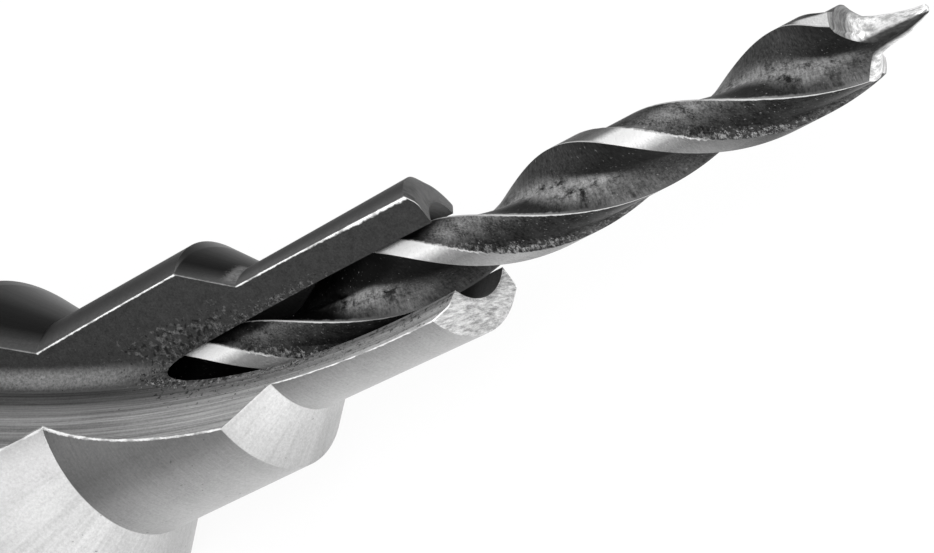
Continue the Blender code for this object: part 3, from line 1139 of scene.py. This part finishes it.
@dataclass(frozen=True)
class PilotFinish:
    """One band of the pilot's surface."""

    zone: PilotZone
    # Greys by degrees round the axis, painted light and shade: the margin band, the land, the
    # flute's sheen and its dull part, and the point.
    band_light_and_shade: Stops = (
        (-180, 0.3), (-95, 0.12), (-60, 0.13), (-50, 0.22), (-40, 1), (-19, 1), (-10, 0.55),
        (-2, 0.24), (10, 0.16), (27, 0.25), (45, 0.32), (65, 0.25), (90, 0.35), (180, 0.3))
    land_light_and_shade: Stops = (
        (-180, 0.05), (-78, 0.03), (-60, 0.045), (-47, 0.11), (-32, 0.15), (-17, 0.06),
        (0, 0.022), (20, 0.011), (60, 0.013), (80, 0.03), (180, 0.05))
    painted_sheen_tones: Stops = ((-110, 0.12), (-85, 0.26), (2, 0.31), (14, 0.27), (27, 0.13),
                          (45, 0.05), (110, 0.03))
    flute_shade_tones: Stops = ((-110, 0.07), (-80, 0.055), (-58, 0.03), (-30, 0.012), (20, 0.02),
                         (60, 0.035))
    point_light_and_shade: Stops = (
        (-180, 0.5), (-130, 0.12), (-100, 0.3), (-80, 0.7), (-40, 0.62), (-22, 0.4),
        (-8, 0.04), (40, 0.02), (62, 0.4), (80, 0.65), (180, 0.5))

    def make(self) -> Material:
        """Build the material.

        Returns:
            The material.
        """
        makers = {PilotZone.MARGIN: self.outer, PilotZone.LAND: self.outer,
                  PilotZone.FLUTE: self.flute, PilotZone.POINT: self.point,
                  PilotZone.PLAIN: self.plain}
        return makers[self.zone](PilotGauge.read(f"pilot_{self.zone.name.lower()}_steel"))

    def outer(self, gauge: PilotGauge) -> Material:
        """Grind the band behind each cutting edge and the cleared land that follows it.

        Args:
            gauge: The sheet and its fields.

        Returns:
            The material.
        """
        turn, along = gauge.turn, gauge.along
        behind = gauge.across * 180.0
        fine = gauge.noise((6, 1, 0), 9, 4, 0.75)
        blotch = gauge.noise((6, 1, 0), 1.3, 4, 0.7)
        grit = gauge.noise((6, 1, 0), 4.5, 3, 0.75)
        crumb = gauge.noise((6, 1, 3), 7.5, 3, 0.75)
        # Painted light and shade on the margin band, by degrees round the axis.
        band = turn.curve(*self.band_light_and_shade) * along.curve((7.5, 0.25), (11, 1))
        patch = (behind + along * 9.0 - 29.7).step(23, 18) * along.step(5, 4.3)
        patch = patch * turn.step(20, 0)
        band = patch.blend(band, 0.75) * (fine * 0.9 + blotch * 0.4 + 0.38)
        lip = behind.step(2.4, 1.2) * turn.step(-30, -45)
        band = lip.blend(band, 0.6)
        # Painted light and shade on the land, by degrees round the axis.
        land = turn.curve(*self.land_light_and_shade) * (blotch * 5.5 + fine * 6.0 - 4.3).higher(0.35)
        past = behind - turn.curve((-40, 1), (30, 0.84)) * 24.5
        reach = past.step(19, 2)
        past = past + grit * 9.0 - 4.5
        crust = (crumb - (1.0 - reach) * 0.3).step(0.4, 0.6)
        land = crust.blend(land, (crumb * 0.62 + blotch * 0.3 - 0.38).higher(0.01))
        land = gauge.speck(0.64).blend(land * gauge.shade(), 0.25)
        rim = past.step(-2.4, -1.2) * turn.step(25, 5) * turn.step(-60, -40)
        grey = past.step(-0.8, 0.8).blend(rim.blend(band, grit * 0.6 + 0.25), land)
        # Bright line along the heel edge: painted highlight.
        grey = (behind + gauge.wander()).step(76.6, 77.9).blend(grey, 0.55)
        relief = fine * 0.4 + crust * 0.6 + blotch * 0.2
        return gauge.sheet.finish(grey.lower(0.97), fine * 0.1 + 0.34, relief, 0.012)

    def flute(self, gauge: PilotGauge) -> Material:
        """Roll the flute, with painted shade and a mottled painted sheen along its bottom.

        Args:
            gauge: The sheet and its fields.

        Returns:
            The material.
        """
        turn, along = gauge.turn, gauge.along
        behind = gauge.across * 180.0
        cross = gauge.noise((5, 6, 0), 1, 4, 0.75)
        mottle = gauge.noise((6, 1.3, 5), 1, 4, 0.7)
        fine = gauge.noise((6, 1, 2), 8, 3, 0.75)
        # Painted sheen: a mottled band of painted light along the flute's bottom, its level by
        # degrees round the axis.
        off = (behind - 109.7 + turn * 0.38).size()
        level = turn.curve(*self.painted_sheen_tones) * along.curve((3.2, 0.5), (5.5, 0.8), (9, 1))
        sheen = off.step(25, 4) * mottle.step(0.33, 0.54) * level
        sheen = sheen * (cross.step(0.3, 0.7) * 0.8 + fine * 2.4 - 0.5).higher(0.1)
        # Painted shade on the rest of the flute, by degrees round the axis.
        dull = turn.curve(*self.flute_shade_tones) * (cross * 1.2 + fine * 3.2 - 1.2).higher(0.2)
        # Painted shade where the flute runs into the bore, and behind the rake face.
        grey = (sheen + dull) * along.curve((27.8, 1), (28.5, 0.2)) * gauge.shade()
        grey = gauge.speck(0.66).blend(grey, 0.3)
        # Bright line along the heel edge: painted highlight, brighter on the upper side.
        line = (behind + gauge.wander()).step(82, 80)
        grey = line.blend(grey, turn.curve((-30, 0.4), (0, 0.25), (40, 0.08)))
        return gauge.sheet.finish(grey, 0.42, cross * 0.6 + mottle * 0.3 + fine * 0.2, 0.014)

    def point(self, gauge: PilotGauge) -> Material:
        """Grind the point, with painted light on its faces and painted shade below, and scratches
        across it.

        Args:
            gauge: The sheet and its fields.

        Returns:
            The material.
        """
        turn, out = gauge.turn, gauge.along
        scratch = gauge.noise((5, 15, 0), 1, 4, 0.75)
        fine = gauge.noise((9, 9, 0), 1.5, 3)
        lip = out.step(0.5, 0.66) * turn.step(10, -10)
        # Painted light and shade by degrees round the axis; the outer lip on the upper side is held
        # at a low grey.
        level = lip.blend(turn.curve(*self.point_light_and_shade), 0.17)
        grey = level * (scratch.step(0.36, 0.64) * 0.9 + fine * 0.7 + 0.27)
        return gauge.sheet.finish(grey.lower(0.96), 0.38, scratch, 0.02)

    def plain(self, gauge: PilotGauge) -> Material:
        """Turn the plain end that stands in the bore."""
        rings = gauge.noise((1, 6, 0), 1, 3)
        return gauge.sheet.finish(rings * 0.2 + 0.3, 0.38, rings, 0.005)


@dataclass
class PilotDrill:
    """Twisted two-flute drill with a centre spur."""

    tip: float
    diameter: float = 3.7
    length: float = 60.0
    turn_length: float = 21.64
    fluted_length: float = 44.0
    runout: float = 4.0
    web: float = 1.26
    hollow_power: float = 0.62
    hollow_steps: int = 26
    margin_degrees: float = 22.0
    margin_steps: tuple[tuple[float, float], ...] = (
        (0.12, 1.2), (0.36, 3.6), (0.66, 7.0), (1.0, 12.0))
    land_degrees: float = 78.0
    land_relief: float = 0.3
    land_start: float = 15.0
    rough_degrees: float = 9.0
    rough_scale: float = 5.0
    rough_height: float = 0.03
    clock_degrees: float = 335.3
    tail_chamfer: float = 0.3
    spur_length: float = 2.45
    spur_root: float = 1.5
    spur_tip: float = 0.24
    spur_round: float = 0.06
    spur_power: float = 0.72
    lip_setback: float = 3.1
    lip_power: float = 1.8
    lip_relief: float = 0.15
    lean_degrees: float = 0.447
    lean_pivot: float = 23.0
    lean_clock: float = 45.0
    station_step: float = 0.16
    rings: tuple[float, ...] = (1.0, 0.97, 0.93, 0.88, 0.82, 0.76, 0.7, 0.64, 0.58, 0.52, 0.46,
                                0.4, 0.34, 0.28, 0.22, 0.17, 0.12, 0.08, 0.04)
    point_room: float = 0.12
    point_end: float = 4.0
    ground_share: float = 0.995
    plain_length: float = 0.5
    lip_sway: float = 6.9
    sway_level: float = 0.454
    sway_clock: float = 135.0
    sway_behind: tuple[float, float] = (60.0, 30.0)
    sway_before: tuple[float, float] = (84.0, 36.0)
    sway_fade: tuple[float, float] = (3.6, 2.5)
    spur_swell: float = 0.12
    swell_at: float = 1.0
    swell_width: float = 0.95
    swell_degrees: float = 217.0
    sharp_degrees: float = 24.0

    def __post_init__(self) -> None:
        """Work out the drill's full radius."""
        self.full = self.diameter / 2

    def half_section(self) -> list[tuple[float, float, PilotZone]]:
        """Draw half of the pilot's section.

        Returns:
            (radius, degrees behind the lip, band that follows) round it.
        """
        full, land = self.full, self.land_degrees
        cleared = full - self.land_relief
        start = self.margin_degrees + self.land_start
        points = [(full, self.margin_degrees * k / 6, PilotZone.MARGIN) for k in range(7)]
        points += [(full - self.land_relief * drop, self.margin_degrees + turn, PilotZone.LAND)
                   for drop, turn in self.margin_steps]
        points += [(cleared, start + (land - start) * k / 13, PilotZone.LAND)
                   for k in range(13)]
        for share in (k / self.hollow_steps for k in range(self.hollow_steps)):
            outer = cleared + self.land_relief * share
            hollow = sin(pi * share) ** self.hollow_power
            points.append((outer + (self.web / 2 - outer) * hollow,
                           land + (180.0 - land) * share, PilotZone.FLUTE))
        return points

    def ground(self, radius: float) -> float:
        """Find the distance from the tip back to the ground point.

        Args:
            radius: Where on the point.

        Returns:
            The distance.
        """
        tip, root = self.spur_tip / 2, self.spur_root / 2
        if radius <= tip:
            return self.spur_round * (radius / tip) ** 2
        if radius <= root:
            rise = ((radius - tip) / (root - tip)) ** self.spur_power
            return self.spur_round + (self.spur_length - self.spur_round) * rise
        share = min((radius - root) / (self.full - root), 1.0)
        rise = 1.0 - (1.0 - share) ** self.lip_power
        return self.spur_length + (self.lip_setback - self.spur_length) * rise

    def clock(self, station: float, behind: float) -> float:
        """Degrees round the axis of a place of the twisted section."""
        return self.clock_degrees - behind - 360.0 * station / self.turn_length

    def place(self, station: float, radius: float, behind: float) -> Vector:
        """Point of the twisted section."""
        turn = radians(self.clock(station, behind))
        return Vector((-station, radius * cos(turn), radius * sin(turn)))

    def builder(self, section: Sequence[tuple[float, float]]) -> BMesh:
        """Sweep the section along its helix, then form the point and the tail.

        Args:
            section: (radius, degrees behind the lip) round the pilot.

        Returns:
            A closed mesh in millimetres, with a layer of numbers in the section.
        """
        builder = bmesh.new()
        index = builder.verts.layers.int.new("index")
        fluted = self.fluted_length - self.lip_setback - self.lip_relief - self.point_room
        steps = round(fluted / self.station_step)
        loop = outline_loop(builder, [self.place(self.fluted_length, radius, behind)
                                      for radius, behind in section])
        verts = list(builder.verts)
        for number, vert in enumerate(verts):
            vert[index] = number
        made = bmesh.ops.spin(builder, geom=verts + loop, cent=(0, 0, 0), axis=(1, 0, 0),
                              angle=2 * pi * fluted / self.turn_length,
                              dvec=(fluted / steps, 0, 0), steps=steps)
        self.shape_flutes(builder, index, section)
        last = edges_of(made["geom_last"])
        for share in self.rings:
            last = extrude_loop(builder, last)
            for vert in loop_verts(last):
                radius, behind = section[vert[index]]
                inner = radius * share
                land = min(behind % 180.0 / self.land_degrees, 1.0)
                back = self.ground(inner) + self.lip_relief * land * inner / self.full
                vert.co = self.place(back, inner, behind)
                vert.co += self.swell(vert.co, back)
        close_loop(builder, last)
        for inset in (0.0, self.tail_chamfer):
            loop = extrude_loop(builder, loop)
            for vert in loop_verts(loop):
                vert.co = self.place(self.length - self.tail_chamfer + inset,
                                     self.full - inset, section[vert[index]][1])
        close_loop(builder, loop)
        return builder

    def swell(self, place: Vector, back: float) -> Vector:
        """Find how far the spur's low side stands out near its end.

        Args:
            place: A point of the spur.
            back: Its distance behind the tip.

        Returns:
            The way that the point moves.
        """
        radius = hypot(place.y, place.z)
        if radius < 1e-6 or back > self.spur_length:
            return Vector((0.0, 0.0, 0.0))
        grow = self.spur_swell * exp(-((back - self.swell_at) / self.swell_width) ** 2)
        grow *= min(radius / (self.spur_tip / 2), 1.0)
        down = radians(self.swell_degrees)
        return Vector((0.0, place.y / radius + cos(down), place.z / radius + sin(down))) * grow

    def shape_flutes(self, builder: BMesh, index: BMLayerItem,
                     section: Sequence[tuple[float, float]]) -> None:
        """Fade the flutes into the plain end, roughen the land's front and sway the lips.

        Args:
            builder: The swept mesh.
            index: Layer that holds each point's place in the section.
            section: (radius, degrees behind the lip) of each place.
        """
        for vert in builder.verts:
            radius, behind = section[vert[index]]
            station = -vert.co.x
            share = held((self.fluted_length - station) / self.runout)
            depth = share * share * (3.0 - 2.0 * share)
            if 0.0 < behind % 180.0 - self.margin_degrees < self.rough_degrees:
                place = (station * self.rough_scale, behind, 0.0)
                radius += self.rough_height * noise.noise(place)
            vert.co = self.place(station, self.full + (radius - self.full) * depth, behind)
            vert.co.x += self.sway(station, behind)

    def sway(self, station: float, behind: float) -> float:
        """Find how far a point near a lip lies in front of the even helix.

        Args:
            station: Millimetres behind the tip.
            behind: Degrees behind the lip.

        Returns:
            The distance, which is nothing away from the lips and at the point.
        """
        past = behind % 180.0
        end, fall = self.sway_behind
        start, rise = self.sway_before
        near = held(max((end - past) / fall, (past - start) / rise))
        fade = held((station - self.sway_fade[0]) / self.sway_fade[1])
        turn = radians(self.clock(station, behind) - self.sway_clock)
        lead = self.lip_sway * (self.sway_level - sin(turn))
        return lead * self.turn_length / 360.0 * near * fade

    def mark(self, builder: BMesh, half: Sequence[tuple[float, float, PilotZone]]) -> None:
        """Give each face its band and its place on the surface map.

        Args:
            builder: The pilot's mesh.
            half: Half of the section.
        """
        index = builder.verts.layers.int["index"]
        surface = builder.loops.layers.uv.new("surface")
        count = len(half)
        for face in builder.faces:
            verts = [loop.vert for loop in face.loops]
            front = min(-vert.co.x for vert in verts)
            if len(verts) > 4:
                zone = PilotZone.POINT if front < self.spur_round * 2 else PilotZone.PLAIN
                face.material_index = zone.value
                continue
            low, high = (choice(vert[index] for vert in verts) for choice in (min, max))
            first = (high if high - low > 1 else low) % count
            plain = front > self.fluted_length - self.plain_length
            zone = PilotZone.PLAIN if plain else half[first][2]
            ground = [vert for vert in verts if -vert.co.x < self.point_end
                      and hypot(vert.co.y, vert.co.z)
                      < half[vert[index] % count][0] * self.ground_share]
            if len(ground) >= 2:
                zone = PilotZone.POINT
            face.material_index = zone.value
            for loop, vert in zip(face.loops, verts):
                x, y, z = vert.co
                number = vert[index] % count
                behind = 180.0 if not number and first == count - 1 else half[number][1]
                loop[surface].uv = ((atan2(z, y) / pi, hypot(y, z) / self.full)
                                    if zone is PilotZone.POINT else (behind / 180.0, -x))

    def build(self) -> Object:
        """Make the pilot.

        Returns:
            The finished piece, riding on its body.
        """
        half = self.half_section()
        builder = self.builder([(radius, behind + side) for side in (0.0, 180.0)
                                for radius, behind, _ in half])
        self.mark(builder, half)
        pivot = Matrix.Translation((-self.lean_pivot, 0.0, 0.0))
        clock = radians(self.lean_clock)
        axis = Vector((0.0, -sin(clock), cos(clock)))
        lean = Matrix.Rotation(radians(self.lean_degrees), 4, axis)
        builder.transform(pivot @ lean @ pivot.inverted())
        bmesh.ops.recalc_face_normals(builder, faces=builder.faces)
        piece = as_object("fine_pilot_drill", builder,
                          *[PilotFinish(zone).make() for zone in PilotZone])
        settle(piece, on_axis(self.tip), self.sharp_degrees)
        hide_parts("pilot_drill")
        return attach(piece, BODY)


@dataclass(frozen=True)
class ScrewFinish:
    """Blackened screw, faintly lighter in patches."""

    name: str = "blackened_screw"

    def make(self) -> Material:
        """Build the material.

        Returns:
            The material.
        """
        sheet = Sheet(self.name, 0.7)
        point = sheet.place(0.0)
        grit = sheet.grain(point, 5, 3)
        grey = grit * 0.035 + sheet.grain(point, 1.2).step(0.55, 0.8) * 0.05 + 0.02
        return sheet.finish(grey, 0.46, grit, 0.01)


@dataclass
class ClampScrew:
    """Socket set screw that stands in the collar over the pilot's plain end."""

    centre: float
    low: float
    high: float
    diameter: float = 5.0
    socket_flats: float = 2.5
    socket_depth: float = 2.4
    pitch: float = 0.8
    pitch_rows: int = 8
    thread_depth: float = 0.32
    chamfer: float = 0.4
    turn_steps: int = 72
    sharp_degrees: float = 35.0

    def build(self) -> Object:
        """Make the screw.

        Returns:
            The finished piece, riding on its body.
        """
        radius, height = self.diameter / 2, self.high - self.low
        finish = ScrewFinish().make()
        rows = round(height / self.pitch * self.pitch_rows)
        profile = [(0.0, 0.0), (0.0, radius - self.chamfer)]
        profile += [(height * k / rows, radius) for k in range(1, rows)]
        profile += [(height, radius - self.chamfer), (height, 0.0)]
        builder = spin_profile(profile, self.turn_steps)
        for place in (vert.co for vert in builder.verts):
            out = hypot(place.y, place.z)
            if out > radius - 0.01:
                turn = atan2(place.z, place.y) / (2 * pi)
                wave = abs((place.x / self.pitch - turn) % 1.0 * 2.0 - 1.0)
                room = min(place.x, height - place.x) - self.chamfer
                inner = radius + min(-self.thread_depth * wave, room)
                place.yz = place.yz * (inner / out)
        piece = as_object("fine_clamp_screw", builder, finish)
        corner = corner_radius(self.socket_flats)
        mouth = [(height + 0.5, 0.0), (height + 0.5, corner + 0.6), (height - corner - 0.1, 0.0)]
        key = prism(hexagon(self.socket_flats), height + 1.0, height - self.socket_depth)
        for name, cutter in (("socket_broach", key),
                             ("socket_mouth", spin_profile(mouth, self.turn_steps))):
            carve(piece, as_object(name, cutter, finish))
        settle(piece, Matrix.Scale(MM, 4) @ Matrix.Translation((self.centre, 0.0, self.low))
               @ UPRIGHT, self.sharp_degrees)
        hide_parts("clamp_screw")
        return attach(piece, BODY)


@dataclass(frozen=True)
class Lamp:
    """A soft lamp that looks at a point of the tool."""

    name: str
    place: tuple[float, float, float]
    size: float
    watts: float


@dataclass(frozen=True)
class Studio:
    """Camera, floor, world and lamps."""

    focal_pixels: float = 3500.0
    camera_place: tuple[float, float, float] = (98.283, -83.1315, 91.192)
    right: tuple[float, float, float] = (0.75479214, 0.00419217, -0.65595065)
    up: tuple[float, float, float] = (0.38704491, 0.80451143, 0.45050815)
    back: tuple[float, float, float] = (0.5296084, -0.59392237, 0.60561635)
    roll_degrees: float = 0.56
    sensor: float = 36.0
    floor_size: float = 4.0
    floor_grey: float = 0.9
    floor_fade: Stops = ((0.0, 1.0), (0.06, 0.35))
    floor_share: float = 0.93
    sky_fade: Stops = ((-0.15, 0.95), (0.65, 0.08))
    sky_level: float = 0.75
    dark_side: tuple[float, float, float] = (0.0, 0.8, 0.6)
    aim: tuple[float, float, float] = (0.02, 0.0, AXIS_HEIGHT * MM)
    lamps: tuple[Lamp, ...] = (
        Lamp("front_softbox", (0.35, -0.25, 0.32), 0.35, 3.2),
        Lamp("back_softbox", (0.05, 0.5, 0.3), 0.5, 0.6),
    )

    def camera(self) -> None:
        """Set the camera at the photograph's place and angle."""
        data = bpy.data.cameras.new("photo_camera")
        data.sensor_fit = "HORIZONTAL"
        data.sensor_width = self.sensor
        data.lens = self.sensor * self.focal_pixels / PHOTO_WIDTH
        data.clip_start = MM
        data.clip_end = 20.0
        made = bpy.data.objects.new("photo_camera", data)
        bpy.context.scene.collection.objects.link(made)
        turn = Matrix((self.right, self.up, self.back)).transposed().to_4x4()
        roll = Matrix.Rotation(radians(self.roll_degrees), 4, "Z")
        made.matrix_world = Matrix.Translation(Vector(self.camera_place) * MM) @ turn @ roll
        bpy.context.scene.camera = made

    def floor(self) -> None:
        """Lay a plain pale floor that keeps a soft shadow."""
        builder = bmesh.new()
        bmesh.ops.create_grid(builder, x_segments=1, y_segments=1, size=self.floor_size / 2)
        sheet = Sheet("pale_floor", 0.0, 0.5)
        grey, shader = self.floor_grey, sheet.shader
        sheet.feed(shader.inputs["Base Color"], (grey, grey, grey, 1.0))
        sheet.feed(shader.inputs["Roughness"], grey)
        camera, glossy = sheet.rays("Is Camera Ray", "Is Glossy Ray")
        _, y, _ = sheet.parts(sheet.node("ShaderNodeTexCoord").outputs["Object"])
        glow = sheet.glow("ShaderNodeEmission", y.span(self.floor_fade).higher(camera))
        mixed = sheet.mix((camera * self.floor_share).higher(glossy),
                          Field(sheet, shader.outputs[0]), glow)
        sheet.feed(sheet.tree.nodes["Material Output"].inputs["Surface"], mixed)
        as_object("studio_floor", builder, sheet.material)

    def world(self) -> None:
        """White for the camera, and for the rest a soft grey light, dark behind and above."""
        world = bpy.context.scene.world or bpy.data.worlds.new("studio")
        bpy.context.scene.world = world
        world.use_nodes = True
        world.node_tree.nodes.clear()
        board = Board(world.node_tree)
        camera, glossy, through = board.rays("Is Camera Ray", "Is Glossy Ray",
                                             "Is Transmission Ray")
        place = Field(board, board.node("ShaderNodeTexCoord").outputs["Generated"])
        toward = board.node("ShaderNodeVectorMath", operation="DOT_PRODUCT")
        for socket, value in zip(toward.inputs, (place, self.dark_side)):
            board.feed(socket, value)
        shiny = Field(board, toward.outputs["Value"]).span(self.sky_fade, "SMOOTHSTEP")
        plain, gloss, white = (board.glow("ShaderNodeBackground", strength)
                               for strength in (self.sky_level, shiny, 1.0))
        mixed = board.mix(camera.higher(through), board.mix(glossy, plain, gloss), white)
        board.feed(board.node("ShaderNodeOutputWorld").inputs["Surface"], mixed)

    def light(self) -> None:
        """Hang the lamps."""
        for lamp in self.lamps:
            data = bpy.data.lights.new(lamp.name, "AREA")
            data.shape = "SQUARE"
            data.size = lamp.size
            data.energy = lamp.watts
            made = bpy.data.objects.new(lamp.name, data)
            bpy.context.scene.collection.objects.link(made)
            made.location = lamp.place
            back = Vector(lamp.place) - Vector(self.aim)
            made.rotation_euler = back.to_track_quat("Z", "Y").to_euler()

    def build(self) -> None:
        """Set up the whole studio."""
        bpy.context.scene.view_settings.view_transform = "Standard"
        self.camera()
        self.floor()
        self.world()
        self.light()


def main() -> None:
    """Build the studio and the pieces in order, placed from the imported parts' boxes, and log each
    piece's face count.
    """
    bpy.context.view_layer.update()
    Studio().build()
    body_low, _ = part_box("cutter_body")
    _, pilot_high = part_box("pilot_drill")
    screw_low, screw_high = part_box("clamp_screw")
    body = CutterBody(front=0.0)
    body.front = body_low.x + body.length * MM
    pilot = PilotDrill(tip=pilot_high.x)
    screw = ClampScrew(centre=(screw_low.x + screw_high.x) / 2 / MM, low=screw_low.z / MM,
                       high=screw_high.z / MM)
    for maker in (body, pilot, screw):
        piece = maker.build()
        log.info("%s: %d faces", piece.name, len(piece.data.polygons))


if __name__ == "__main__":
    main()
